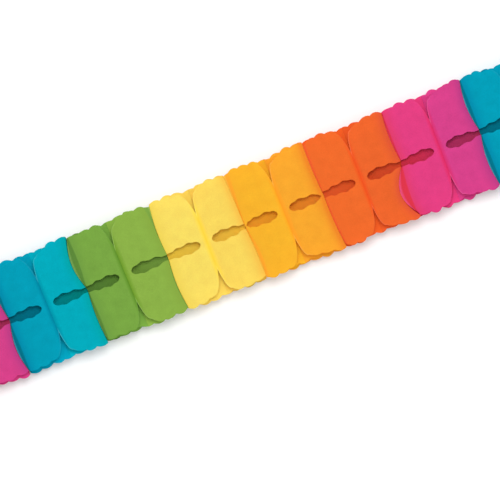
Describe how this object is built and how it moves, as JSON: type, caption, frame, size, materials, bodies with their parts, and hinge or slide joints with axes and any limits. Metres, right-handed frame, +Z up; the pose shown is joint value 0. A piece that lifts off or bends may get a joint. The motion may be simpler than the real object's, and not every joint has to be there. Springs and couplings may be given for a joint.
{
  "type": "tissue paper leaf garland",
  "caption": "Garland of die-cut tissue paper leaves with scalloped sides, rounded corners and leaf-shaped slots, folded and glued in a chain of changing colours to hang as a party decoration.",
  "frame": {"origin": "centre of the garland's outline on the floor that it lies on, under the seam between yellow and gold", "axes": "+X along the garland towards gold and orange, +Y across it, +Z up"},
  "size_m": [0.6096, 0.1016, 0.0292],
  "materials": {
    "pink": "matt dyed tissue paper",
    "turquoise": "matt dyed tissue paper",
    "green": "matt dyed tissue paper",
    "yellow": "matt dyed tissue paper",
    "gold": "matt dyed tissue paper",
    "orange": "matt dyed tissue paper"
  },
  "bodies": {
    "root": {"leaf_01_pink": "pink", "leaf_02_pink": "pink", "leaf_03_turquoise": "turquoise", "leaf_04_turquoise": "turquoise", "leaf_05_green": "green", "leaf_06_green": "green", "leaf_07_yellow": "yellow", "leaf_08_yellow": "yellow", "leaf_09_gold": "gold", "leaf_10_gold": "gold", "leaf_11_orange": "orange", "leaf_12_orange": "orange", "leaf_13_pink": "pink", "leaf_14_pink": "pink", "leaf_15_turquoise": "turquoise", "leaf_16_turquoise": "turquoise"}
  },
  "joints": []
}
